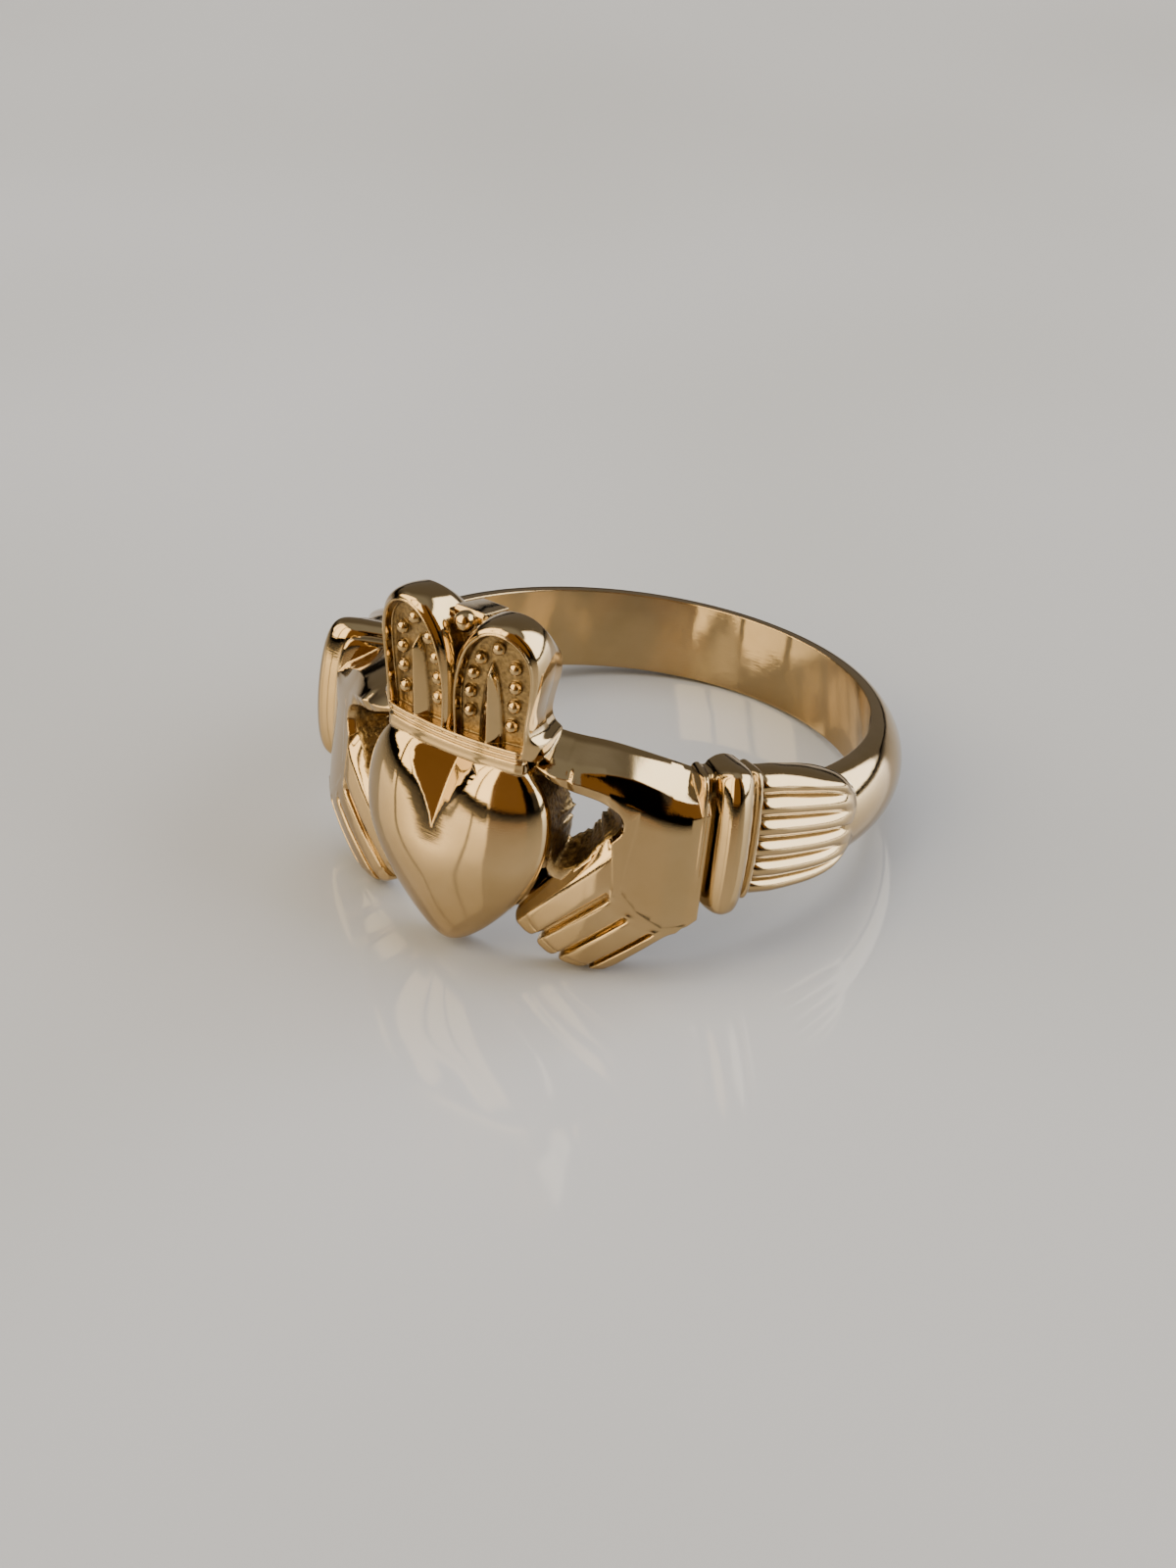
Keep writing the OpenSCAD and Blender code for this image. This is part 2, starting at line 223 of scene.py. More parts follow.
def ball(centre, d, around, rows):
    """A sphere of diameter d: rings at even angles between its poles."""
    polar = np.linspace(0, np.pi, rows + 2)[1:-1, None]
    turn = np.linspace(0, 2 * np.pi, around, endpoint=False)[None]
    one = np.ones_like(turn)
    unit = np.stack([np.sin(polar) * np.cos(turn), np.sin(polar) * np.sin(turn), np.cos(polar) * one], -1)
    points, quads, fans = skin(np.asarray(centre) + unit * d / 2)
    points[-2] = np.asarray(centre) + [0, 0, d / 2]
    points[-1] = np.asarray(centre) - [0, 0, d / 2]
    return points, quads, fans


def as_object(name, form):
    """A closed form as a mesh object of this name."""
    points, quads, fans = form
    mesh = bpy.data.meshes.new(name)
    mesh.from_pydata(points, [], quads.tolist() + fans.tolist())
    mesh.update()
    made = bpy.data.objects.new(name, mesh)
    bpy.context.scene.collection.objects.link(made)
    return made


def without_slivers(mesh):
    """The mesh as triangles, with its shortest edges drawn together into one point each. Triangles that have
    lost a corner go, and so do pairs on the same three points that face each other, which leaves the skin
    closed."""
    points = np.empty((len(mesh.vertices), 3), np.float32)
    mesh.vertices.foreach_get("co", points.ravel())
    mesh.calc_loop_triangles()
    corners = np.empty((len(mesh.loop_triangles), 3), np.int32)
    mesh.loop_triangles.foreach_get("vertices", corners.ravel())
    a = corners.ravel()
    b = np.roll(corners, -1, 1).ravel()
    short = np.linalg.norm(points[a] - points[b], axis=1) < SHORTEST
    a, b = a[short], b[short]
    same = np.arange(len(points))
    # Each pass doubles the length of the chains of short edges that it follows
    for _ in range(8):
        lower = np.minimum(same[a], same[b])
        np.minimum.at(same, a, lower)
        np.minimum.at(same, b, lower)
        same = same[same]
    corners = same[corners]
    corners = corners[(corners != np.roll(corners, 1, 1)).all(1)]
    first = corners.argmin(1)[:, None]
    turned = np.take_along_axis(corners, (first + np.arange(3)) % 3, 1)
    facing = np.where(turned[:, 1] < turned[:, 2], 1, -1)
    kinds, which = np.unique(np.sort(corners, 1), axis=0, return_inverse=True)
    total = np.bincount(which.ravel(), facing)
    kept = np.where(total[:, None] < 0, kinds[:, [0, 2, 1]], kinds)[total != 0]
    used, kept = np.unique(kept, return_inverse=True)
    fresh = bpy.data.meshes.new(mesh.name)
    fresh.from_pydata(points[used], [], kept.reshape(-1, 3).tolist())
    fresh.update()
    return fresh


def fuse(name, first, steps):
    """Joins or cuts closed forms one after the other and returns the finished mesh's object."""
    made = as_object(name, first)
    others = []
    for k, (kind, form) in enumerate(steps):
        other = as_object(f"{name}_{k}", form)
        others.append(other)
        m = made.modifiers.new(kind, "BOOLEAN")
        m.operation, m.object, m.solver = kind, other, "MANIFOLD"
    bpy.context.view_layer.update()
    depsgraph = bpy.context.evaluated_depsgraph_get()
    mesh = bpy.data.meshes.new_from_object(made.evaluated_get(depsgraph))
    made.modifiers.clear()
    made.data = without_slivers(mesh)
    for other in others:
        bpy.data.objects.remove(other)
    return made


def degrees(points):
    """Measured points, degrees round the ring and height in shares of the hole's radius, as x and z."""
    p = np.asarray(points, float)
    return np.stack([np.radians(p[:, 0]) * FACE_R, p[:, 1] * BORE_R], -1)


# The heart

# Degrees round the ring and height in shares of the hole's radius, from the tip up one side
HEART_SIDE = [
    (4.1, -0.54), (8.7, -0.465), (13.7, -0.35), (17.6, -0.23), (20, -0.11), (20.75, 0.02),
    (20.1, 0.12), (17.8, 0.22), (14, 0.287), (8, 0.3), (3, 0.26),
]


def heart_height(x, z, s):
    """The rim's thickness falls towards the tip. The dome over it is a low power of 1 less s cubed, where s is 0
    in the middle and 1 at the rim, and a trough, a bell curve across, runs down between the lobes."""
    share = (z + HEART_DROP) / HEART_H
    rim = RIM_T * (0.55 + 0.45 * smoothstep(share, -0.15, 0.55))
    dome = (HEART_T - RIM_T) * (1 - 0.5 * (share - 0.62) ** 2)
    trough = 0.36 * np.exp(-((x / 1.15) ** 2)) * smoothstep(z, -2.4, 1.4)
    return rim + (dome - trough) * np.maximum(0, 1 - s**3) ** 0.62


# Share by which the heart is wider inside the finger hole than at its rim
FLANK = 0.15


def heart():
    """A grid of rays from the middle to the outline. Along a ray s cubed is the squared sine of an even angle,
    which makes the steps small at the rim. The wall below the rim spreads evenly towards the finger hole."""
    right = degrees(HEART_SIDE)
    edge = spline(np.vstack([[[0, -TIP]], right, [[0, LOBES_MEET]], right[::-1] * [-1, 1]]), 200, True)
    middle = np.array([0, HEART_MIDDLE])
    angles = np.linspace(0.02, np.pi / 2, 52)
    s = (np.sin(angles) ** (2 / 3))[:, None]
    q = middle + (edge - middle)[None] * s[..., None]
    top = at(q[..., 0], q[..., 1], heart_height(q[..., 0], q[..., 1], s))
    depth = np.array([0.06, 0.2, 0.4, 0.6, 0.8, 1.0])[:, None]
    x, z = edge[None, :, 0], edge[None, :, 1]
    rim = heart_height(x, z, 1.0)
    wall = at(x * (1 + FLANK * depth), z, rim - depth * (rim + ROOT))
    return skin(np.concatenate([top, wall]))


def cleft():
    """The valley cut between the lobes: its floor leaves the dome at the apex and sinks evenly up to the crown,
    and its two walls rise with a constant slope. A flat lid closes it above the heart."""
    apex, top, sinks, slope, lid_t = -0.3, 3.4, 0.27, 0.72, 2.2
    z = np.linspace(apex - 1.2, top, 24)[:, None]
    s = np.abs(z - HEART_MIDDLE) / np.where(z > HEART_MIDDLE, LOBES_MEET - HEART_MIDDLE, HEART_MIDDLE + TIP)
    floor = heart_height(0.0, z, np.clip(s, 0, 0.9)) - sinks * (z - apex)
    x = np.array([0, 0.5, 1, 1.7, 1.7, 0, -1.7, -1.7, -1, -0.5])[None]
    t = floor + np.abs(x) * slope
    lid = (np.arange(10) >= 4) & (np.arange(10) <= 6)
    t = np.where(lid[None], floor + lid_t, t)
    return skin(at(x + 0 * z, z + 0 * x, t))


# The crown

# Pairs of degrees round the ring and height in shares of the hole's radius: the outline of the right lobe, and
# the edge of its panel at the same places
LOBE = [
    (0.3, 0.3), (-0.15, 0.42), (-0.25, 0.52), (0, 0.62), (1.2, 0.72), (3.4, 0.8), (6.3, 0.853), (9.3, 0.868),
    (12.6, 0.86), (15.5, 0.82), (17.3, 0.755), (17.7, 0.69), (17.2, 0.6), (16.3, 0.5), (16.4, 0.445),
    (17.5, 0.415), (18.6, 0.398), (18.7, 0.36), (17.4, 0.31),
]
PANEL = [
    (1.7, 0.34), (1.5, 0.44), (1.5, 0.53), (2.1, 0.615), (3.1, 0.69), (4.7, 0.757), (6.8, 0.8), (9, 0.818),
    (11.6, 0.807), (13.8, 0.768), (15.1, 0.71), (15.4, 0.645), (15.3, 0.575), (15, 0.5), (14.8, 0.45),
    (14.7, 0.42), (14.6, 0.395), (14.5, 0.37), (14.4, 0.34),
]
# Share of the way from the panel's edge to the outline, and drop below the crown's face
LOBE_PROFILE = [
    (-0.12, 1.0), (-0.06, 0.99), (-0.03, 0.9), (-0.005, 0.5), (0.03, 0.12), (0.1, -0.02), (0.19, 0.0),
    (0.28, 0.16), (0.4, 0.24), (0.55, 0.38), (0.7, 0.62), (0.83, 0.98), (0.92, 1.4), (0.98, 1.9), (1.0, 2.6),
    (0.97, 3.4),
]
# Degrees round the ring and height in shares of the hole's radius
BEADS = [
    (9, 0.757), (12.2, 0.69), (12.3, 0.61), (12.2, 0.53), (11.9, 0.445),
    (5.6, 0.697), (4.05, 0.625), (3.5, 0.543), (3.5, 0.46),
]


def matched(points, steps):
    """The cubic spline through the points with each stretch between two of them in this many steps, so that two
    lines with as many points keep their pairs."""
    fine = spline(points, 4000)
    nearest = [int(np.argmin(np.hypot(*(fine - p).T))) for p in np.asarray(points)]
    last = len(points) - 1
    place = np.interp(np.linspace(0, last, last * steps + 1), np.arange(last + 1), nearest)
    return fine[np.round(place).astype(int)]


def crown_face(z):
    """The face leans outwards evenly from the foot up."""
    return CROWN_T + CROWN_LEAN * (z - CROWN_FOOT) / CROWN_H


def lobe():
    """Between the panel's edge and the outline the face follows a rounded profile, and inside the edge it is
    the sunk panel. Behind the outline the form sinks and narrows towards the finger hole, most at its top."""
    outer, inner = (matched(degrees(e), 11) for e in (LOBE, PANEL))
    foot = np.linspace(0, 1, 26)[1:-1, None]
    outer, inner = (np.vstack([e, e[-1] + (e[0] - e[-1]) * foot]) for e in (outer, inner))
    centre = inner.mean(0)
    profile = spline(LOBE_PROFILE, 40)
    floor = np.array([[0.25, 1], [0.5, 1], [0.75, 1], [0.9, 1]])
    rows = [(centre + (inner - centre) * k[0], np.full(1, k[1])) for k in floor]
    for u, drop in profile:
        inside = inner + (centre - inner) * max(0, -u)
        rows.append((inside + (outer - inner) * max(0, u), np.full(1, drop)))
    rings = [at(p[:, 0], p[:, 1], crown_face(p[:, 1]) - PANEL_D * drop) for p, drop in rows]
    high = ((outer[:, 1] - CROWN_FOOT) / CROWN_H).clip(0, 1)
    sinks, sinks_from, narrows = 1.25, 1.5, 0.05
    for t in (1.1, 0.9, 0.7, 0.4, 0.0, -0.9):
        sink = sinks * high**2 * (max(0, sinks_from - t) / sinks_from) ** 1.6
        rings.append(at(outer[:, 0] * (1 - narrows * high), outer[:, 1] - sink, t))
    return skin(rings)


def leaf():
    """A rib up the middle of the panel. Its half width narrows to a point, and its section is a ridge with
    slightly rounded sides."""
    rows, places, middle = 30, 13, 7.95
    z = np.linspace(0.34, 0.7, rows)
    half = through([0.34, 0.42, 0.5, 0.58, 0.65, 0.7], [2.85, 2.7, 2.35, 1.8, 1.05, 0.08], z)[:, 0]
    across = np.linspace(-1, 1, places)
    crest = 0.7 * (1 - np.abs(across)) + 0.3 * (1 - across**2)
    p = degrees(np.stack([(middle + half[:, None] * across).ravel(), np.repeat(z, places)], -1))
    p = p.reshape(rows, places, 2)
    face = crown_face(p[..., 1])
    high = np.minimum(1, (half / 1.1))[:, None]
    t = face - PANEL_D * (1.05 - 1.05 * crest * high)
    top = at(p[..., 0], p[..., 1], t)
    low = at(p[..., [-1, 0], 0], p[..., [-1, 0], 1], face[:, :1] - 3 * PANEL_D)
    return skin(np.concatenate([top, low], 1))


def beads():
    """A small sphere on each bead's place, sunk a little way into the panel."""
    spots = degrees(BEADS)
    return together(*(ball(at(x, z, crown_face(z) - 0.86 * PANEL_D), BEAD_D, 20, 12) for x, z in spots))


# Height and thickness of the crown's foot, from its lower edge to its upper edge
FOOT = [
    (2.46, 1.5), (2.46, 2.02), (2.5, 2.16), (2.58, 2.2), (2.68, 2.2), (2.8, 2.2), (2.9, 2.21), (2.97, 2.19),
    (3.02, 2.1), (3.07, 2.14), (3.13, 2.24), (3.19, 2.24), (3.24, 2.15), (3.28, 2.18), (3.34, 2.29),
    (3.4, 2.29), (3.44, 2.2), (3.45, 1.9), (3.45, 1.5),
]
# Degrees round the ring from the middle of the foot to its end
FOOT_END = 15.4


def crown_foot():
    """The moulding's profile is carried round the ring, and its ends are rounded over by the square root of 1
    less a high power of the share of the way to the end."""
    profile = spline(FOOT, 64)
    places = 61
    x = np.linspace(-1, 1, places)
    end = np.sqrt(np.maximum(0, 1 - np.abs(x) ** 24))[:, None]
    x = np.sign(x) * np.abs(x) ** 0.9 * np.radians(FOOT_END) * FACE_R
    z, t = profile[None, :, 0] + 0 * x[:, None], profile[None, :, 1] * (0.86 + 0.14 * end)
    root = np.array([[3.4, -0.8], [2.2, -0.8]])
    z = np.concatenate([z, np.tile(root[:, 0], (places, 1))], 1)
    t = np.concatenate([t, np.tile(root[:, 1], (places, 1))], 1)
    return skin(at(x[:, None], z, t))


def block():
    """The small block behind the ball: a plain profile carried across, with a top that slopes back to the finger
    hole and ends that are a little smaller."""
    x = np.array([-0.68, -0.64, 0.64, 0.68])
    profile = between([(6.6, -0.7), (6.6, 1.55), (7.75, 1.66), (7.9, 1.55), (7.62, -0.7)], 3)[:-1]
    size = np.array([0.97, 1, 1, 0.97])[:, None]
    middle_z = 7.2
    return skin(at(x[:, None], profile[None, :, 0] * size + middle_z * (1 - size), profile[None, :, 1] * size))


# The hands

# Share of the hand's width from the heart, then heights in shares of the wrist's: bottom edge, lower and upper
# edge of the bevel, top edge, then the thickness in millimetres and the share of it at the bottom edge
HAND = [
    (-0.14, 0.5, 0.58, 0.65, 0.76, 1.79, 0.7), (-0.07, 0.44, 0.55, 0.63, 0.75, 2.1, 0.66),
    (0.06, 0.38, 0.55, 0.61, 0.74, 2.1, 0.64), (0.31, 0.3, 0.48, 0.6, 0.73, 1.95, 0.68),
    (0.4, 0.15, 0.45, 0.595, 0.715, 1.81, 0.99), (0.47, -0.38, 0.41, 0.585, 0.7, 1.8, 1),
    (0.57, -0.5, 0.36, 0.555, 0.68, 1.8, 1), (0.72, -0.57, 0.305, 0.49, 0.64, 1.8, 1),
    (0.86, -0.605, 0.29, 0.425, 0.6, 1.8, 1), (0.95, -0.585, 0.31, 0.41, 0.57, 1.8, 1),
    (1.04, -0.53, 0.34, 0.42, 0.54, 1.74, 0.97),
]
# Knuckle and tip of the lines between the fingers, as shares of the hand's width and of the heart's drop
FINGERS = np.array([
    [0.48, 0.2, -0.29, -0.69], [0.44, -0.33, -0.08, -0.84], [0.57, -0.475, 0.085, -0.945],
    [0.75, -0.58, 0.32, -0.99], [0.91, -0.56, 0.52, -0.97],
])
# Share of the hand's width and of the wrist's height
OPENING = [
    (-0.14, 0.54), (-0.16, 0.42), (-0.08, 0.28), (-0.01, 0.08), (0, -0.14), (0.02, -0.29), (0.08, -0.32),
    (0.17, -0.27), (0.29, -0.1), (0.39, 0.06), (0.47, 0.17), (0.46, 0.28), (0.36, 0.37), (0.22, 0.42),
    (0.07, 0.46), (-0.04, 0.51),
]


def on_hand(s, h, t):
    """The point at share s of the hand's width from the heart and share h of the wrist's height."""
    return at(HEART_W / 2 + s * HAND_W, h * WRIST_H, t)


def hand_back():
    """The back of the hand, the bevel above it and the top that slopes to the finger hole, each flat across and
    smooth along the hand. The thumb has a crease, a groove and a ridge that are bell curves along it, and a
    nail that is sunk a little."""
    table = np.array(HAND)
    s = np.linspace(table[0, 0], table[-1, 0], 84)
    values = through(table[:, 0], table, s)
    # A running mean over this many rows on each side, so that what the bevel mirrors has no waves
    beside = 8
    padded = np.pad(values, ((beside, beside), (0, 0)), "reflect", reflect_type="odd")
    even = np.stack([padded[k : k + len(s)] for k in range(2 * beside + 1)]).mean(0)
    low, share = values[:, 1], values[:, 6]
    bevel_low, bevel_high, top, t = even[:, 2:6].T
    flat = np.full_like(s, -0.95 * ROOT)
    lines = np.stack([
        np.stack([top, flat], -1), np.stack([top, 0.12 * t], -1), np.stack([bevel_high, 0.8 * t], -1),
        np.stack([bevel_low, t], -1), np.stack([low * 0.75 + bevel_low * 0.25, t * (1 + share) / 2], -1),
        np.stack([low, t * share], -1), np.stack([low, flat], -1),
    ], 1)
    steps = 5
    stretches = lines.shape[1] - 1
    u = np.linspace(0, stretches, stretches * steps + 1)
    k = np.clip(u.astype(int), 0, stretches - 1)
    w = (u - k)[None, :, None]
    section = lines[:, k] * (1 - w) + lines[:, k + 1] * w
    h, t = section[..., 0], section[..., 1]
    groove = 0.09 * np.exp(-(((s - 0.085) / 0.022) ** 2))
    ridge = 0.05 * np.exp(-(((s - 0.135) / 0.024) ** 2))
    crease = (groove - ridge)[:, None] * smoothstep(h, 0.4, 0.5) * smoothstep(-h, -0.66, -0.56)
    nail = 0.05 * smoothstep(-s, -0.07, -0.05)[:, None] * smoothstep(h, 0.5, 0.56)
    t = np.where(t > 0.3, t - crease - nail, t)
    return skin(on_hand(s[:, None], h, t))


def fingers():
    """Four flat ridges side by side. The grooves between them are slots whose depth falls off as a bell curve
    of the distance from the line between two fingers, with rounded ends and a low lip below the knuckles. The
    first finger has a bevel on its upper edge, the last one is rounded, and each has a nail at its tip."""
    across = 22
    k = np.arange(4 * across + 1)
    j = np.minimum(3, k // across)
    w = (1 - np.cos(np.pi * (k / across - j))) / 2
    side = np.abs(2 * w - 1)
    length = np.concatenate([
        np.linspace(-0.16, 0.0, 12), np.linspace(0.012, 0.16, 14), np.linspace(0.18, 0.9, 40),
        np.linspace(0.91, 1, 16),
    ])
    base = through(
        [-0.16, -0.13, -0.115, 0.03, 0.3, 0.6, 0.82, 0.94, 0.985, 1],
        [1.5, 1.78, 1.803, 1.803, 1.63, 1.36, 1.14, 1.0, 0.9, 0.78], length
    )

    def grows(low, high):
        """0 to 1 along the fingers, from this share of their length to that one."""
        return smoothstep(length, low, high)[:, None]

    tip = 0.07 * grows(0.8, 1.0) * side**4
    share = length[:, None] - tip
    slot = np.exp(-(((1 - side) / 0.16) ** 2))
    inner = (k > across / 2) & (k < 3.5 * across)
    depth = 0.36 * grows(-0.01, 0.07) * slot * inner
    lip = 0.035 * np.exp(-(((length[:, None] + 0.012) / 0.03) ** 2)) * np.exp(-(((1 - side) / 0.26) ** 2))
    lip = lip * inner
    first, last = k <= across / 2, k >= 3.5 * across
    bevel = 0.42 * np.maximum(0, 0.34 - w) / 0.34 * first * grows(-0.04, 0.12)
    bevel = bevel + 0.45 * np.maximum(0, (w - 0.62) / 0.38) ** 2 * last * grows(0.02, 0.16)
    round_over = 0.03 * side**2 * grows(0.0, 0.12) + 0.22 * grows(0.86, 1.0) * side**6
    nail = 0.05 * smoothstep(share, 0.872, 0.878) * (1 - smoothstep(side, 0.62, 0.7))
    crease = 0.05 * np.exp(-(((share - 0.872) / 0.008) ** 2)) * (1 - smoothstep(side, 0.66, 0.78))
    t = base - depth + lip - bevel - round_over - nail - crease
    start, end = FINGERS[:, :2], FINGERS[:, 2:]
    p = start[j] * (1 - w)[:, None] + start[j + 1] * w[:, None]
    q = end[j] * (1 - w)[:, None] + end[j + 1] * w[:, None]
    spots = p[None] + (q - p)[None] * share[..., None]
    spots = np.concatenate([spots, spots[-1:] + 0.004 * (q - p)[None]])
    t = np.concatenate([t, np.full((1, len(k)), -0.97)])
    rings = at(HEART_W / 2 + spots[..., 0] * HAND_W, spots[..., 1] * HEART_DROP, t)
    low = at(HEART_W / 2 + spots[:, [-1, 0], 0] * HAND_W, spots[:, [-1, 0], 1] * HEART_DROP, -0.85 * ROOT)
    return skin(np.concatenate([rings, low], 1))


# A point inside the opening, and how large it is at the finger hole next to its outline
OPENING_MIDDLE = np.array([0.22, 0.2])
OPENING_INNER = 0.56


def web():
    """Fills the opening to just outside its outline, less high beside the fingers, so that its cut has
    walls."""
    edge = spline(OPENING, 110, True)
    low_side = smoothstep(edge[:, 0] - 0.85 * edge[:, 1], 0.08, 0.26)
    edge = OPENING_MIDDLE + (edge - OPENING_MIDDLE) * 1.04
    high = 1.5 - 0.3 * low_side
    t = np.stack([np.full_like(high, -0.93 * ROOT), high * 0.5, high])
    return skin(on_hand(edge[None, :, 0], edge[None, :, 1], t))


def opening():
    """The outline shrinks evenly towards the finger hole about a point inside it, and three sines of the angle
    round that point tear its walls, more the deeper they are."""
    edge = spline(OPENING, 160, True)
    t = np.concatenate([np.linspace(-1.1 * ROOT, 0, 3), np.linspace(0.15, PALM_T, 12), [1.6 * PALM_T]])
    size = 1 - (PALM_T - t.clip(0)) * (1 - OPENING_INNER) / PALM_T
    turn = np.arctan2(*(edge - OPENING_MIDDLE).T)
    torn = 0.05 * np.sin(5 * turn + 1) + 0.035 * np.sin(11 * turn) + 0.022 * np.sin(23 * turn + 2)
    size = size[:, None] + torn[None] * (np.clip(1 - t / PALM_T, 0, 1) ** 1.5)[:, None]
    q = OPENING_MIDDLE + (edge - OPENING_MIDDLE)[None] * size[..., None]
    return skin(on_hand(q[..., 0], q[..., 1], t[:, None]))


# The cuffs and sleeves

# Share of the cuff's width, share of its thickness, share of its height
CUFF = [
    (-0.12, 0.4, 0.8), (-0.08, 0.62, 0.86), (-0.03, 0.745, 0.885), (0.02, 0.74, 0.885), (0.05, 0.6, 0.86),
    (0.1, 0.55, 0.85), (0.15, 0.58, 0.86), (0.19, 0.72, 0.91), (0.25, 0.85, 0.945), (0.35, 0.965, 0.985),
    (0.46, 1, 1), (0.56, 0.985, 0.99), (0.66, 0.92, 0.965), (0.73, 0.79, 0.93), (0.775, 0.62, 0.88),
    (0.81, 0.585, 0.87), (0.84, 0.67, 0.88), (0.89, 0.72, 0.89), (0.95, 0.68, 0.88), (1.0, 0.5, 0.85),
]
# Share of the sleeve's length, share of its height, thickness in shares of the band's, depth of the pleats
SLEEVE = [
    (0.01, 0.97, 0.84, 1), (0.06, 1, 0.9, 1), (0.2, 1, 0.93, 1), (0.38, 0.97, 0.97, 0.98),
    (0.56, 0.93, 1.02, 0.94), (0.7, 0.88, 1.06, 0.84), (0.82, 0.82, 1.07, 0.56), (0.92, 0.74, 1.035, 0.14),
    (1.02, 0.62, 0.96, 0),
]
# Steps across the cuff and the sleeve
STEPS = 96


def cuff():
    """Sections of a turned bead with a thin ridge on each side of it. A section's height falls off as a power of
    a sine, so it is flat in front and rounded at its ends."""
    x = np.concatenate([np.linspace(-0.12, 0.2, 26), np.linspace(0.21, 0.7, 24), np.linspace(0.71, 1, 22)])
    _, thick, high = through([c[0] for c in CUFF], CUFF, x).T
    angle = np.linspace(0, np.pi, STEPS + 1)[None]
    half = high[:, None] * CUFF_H / 2
    middle = 0.08 * CUFF_H
    t = CUFF_T * thick[:, None] * (0.42 + 0.58 * np.sin(angle) ** 0.4)
    arc = WRIST_X + x[:, None] * CUFF_W
    face = at(arc, middle + half * np.cos(angle), t)
    low = at(arc, middle + half * np.array([[-0.94, 0.94]]), -0.75 * ROOT)
    return np.concatenate([face, low], 1)


def sleeve():
    """Sections that are rounded at their edges and folded in pleats, the absolute sine of six half turns across,
    which fade along the sleeve, some sooner than others, into a bulge near its upper edge."""
    x = np.linspace(0.01, 1.02, 60)
    stations, depths = [c[0] for c in SLEEVE], [c[3] for c in SLEEVE]
    _, high, thick, _ = through(stations, SLEEVE, x).T
    across = np.arange(STEPS + 1)
    s = 1 - 2 * across[None] / STEPS
    fold = np.abs(np.sin(np.pi * PLEATS * across / STEPS))[None] ** 0.62
    late = 1 + 0.07 * np.sin(2.1 + 3.9 * PLEATS * across / STEPS)[None]
    fade = through(stations, depths, np.clip((x[:, None] / late).ravel(), 0.01, 1.02))
    fade = fade[:, 0].reshape(len(x), STEPS + 1)
    edge = np.sqrt(np.maximum(0, 1 - np.abs(s) ** 3))
    middle = 0.05 * SLEEVE_H * (1 - x)[:, None]
    bulge = 0.16 * np.exp(-(((s - 0.84) / 0.13) ** 2))
    bulge = bulge * (smoothstep(x, 0.3, 0.6) - smoothstep(x, 0.8, 1.0))[:, None]
    t = thick[:, None] * SIDE_T * (0.45 + 0.55 * edge) - PLEAT_D * fade * (1 - fold) + bulge
    arc = WRIST_X + CUFF_W + x[:, None] * SLEEVE_L
    face = at(arc, middle + s * high[:, None] * SLEEVE_H / 2, t)
    low = at(arc, middle + high[:, None] * SLEEVE_H / 2 * np.array([[-0.9, 0.9]]), -0.75 * ROOT)
    return np.concatenate([face, low], 1)


def cuff_and_sleeve():
    """One closed form through the cuff's sections and then the sleeve's."""
    return skin(np.concatenate([cuff(), sleeve()]))


# The band

# It starts inside the sleeve, at this share of the sleeve's length, and lower by this much over the first part
# of a turn, in radians
BAND_START, START_SINKS, START_TURN = 0.78, 0.5, 0.07


def band():
    """The outside is a barrel, an arc across the width turned about an axis that is shifted so that the band
    thins towards its back. The edges close in towards the back, and their corners are rounded."""
    shift, outer = SIDE_T - BAND_T, BORE_R + SIDE_T
    rise = SIDE_T - EDGE_T
    arc_r = (rise**2 + SIDE_W**2 / 4) / (2 * rise)
    slope = (SIDE_W - BAND_W) / 2 / BORE_R
    limit = (WRIST_X + CUFF_W + BAND_START * SLEEVE_L) / FACE_R
    turn = np.linspace(limit, 2 * math.pi - limit, 240)[:, None]
    half = SIDE_W / 2 + BORE_R * np.cos(turn) * slope
    u = np.sin(np.linspace(-1, 1, 33) * math.pi / 2)[None]
    fillet = 0.1
    z = half * u * 0.999
    from_end = np.minimum(turn - turn[0], turn[-1] - turn)
    barrel = outer - arc_r + np.sqrt(arc_r**2 - z**2)
    barrel = barrel - START_SINKS * (1 - smoothstep(from_end, 0.0, START_TURN))
    r = barrel - fillet * np.maximum(0, (np.abs(z) - half + fillet) / fillet) ** 2.5
    top = np.stack([r * np.sin(turn), -r * np.cos(turn) - shift, z], -1)
    z = half * np.array([[1.0, 1.0, -1.0, -1.0]])
    r = np.array([[0.18, -0.8, -0.8, 0.18]]) + BORE_R
    low = np.stack([r * np.sin(turn), -r * np.cos(turn), z + 0 * r], -1)
    return skin(np.concatenate([top, low], 1))


def bore():
    """The finger hole's cylinder, longer than the head is high."""
    turn = np.linspace(0, 2 * math.pi, 480, endpoint=False)[None]
    z = np.array([[-14.0], [14.0]])
    one = np.ones_like(z)
    return skin(np.stack([BORE_R * np.cos(turn) * one, BORE_R * np.sin(turn) * one, z + 0 * turn], -1))


# Materials


def linear(colour):
    """An sRGB hex colour as linear red, green, blue and a solid alpha."""
    c = np.array([int(colour[k : k + 2], 16) for k in (1, 3, 5)]) / 255
    c = np.where(c <= 0.04045, c / 12.92, ((c + 0.055) / 1.055) ** 2.4)
    return (*map(float, c), 1.0)


def node(tree, kind, inputs=(), stops=(), **settings):
    """Adds a node with its settings, sets or links its inputs, and places the stops of a colour ramp, each a
    share from 0 to 1 and its colour."""
    made = tree.nodes.new(kind)
    for key, value in settings.items():
        setattr(made, key, value)
    for name, value in inputs:
        if isinstance(value, bpy.types.NodeSocket):
            tree.links.new(value, made.inputs[name])
        else:
            made.inputs[name].default_value = value
    for k, (position, colour) in enumerate(stops):
        made.color_ramp.elements[k].position = position
        made.color_ramp.elements[k].color = colour
    return made


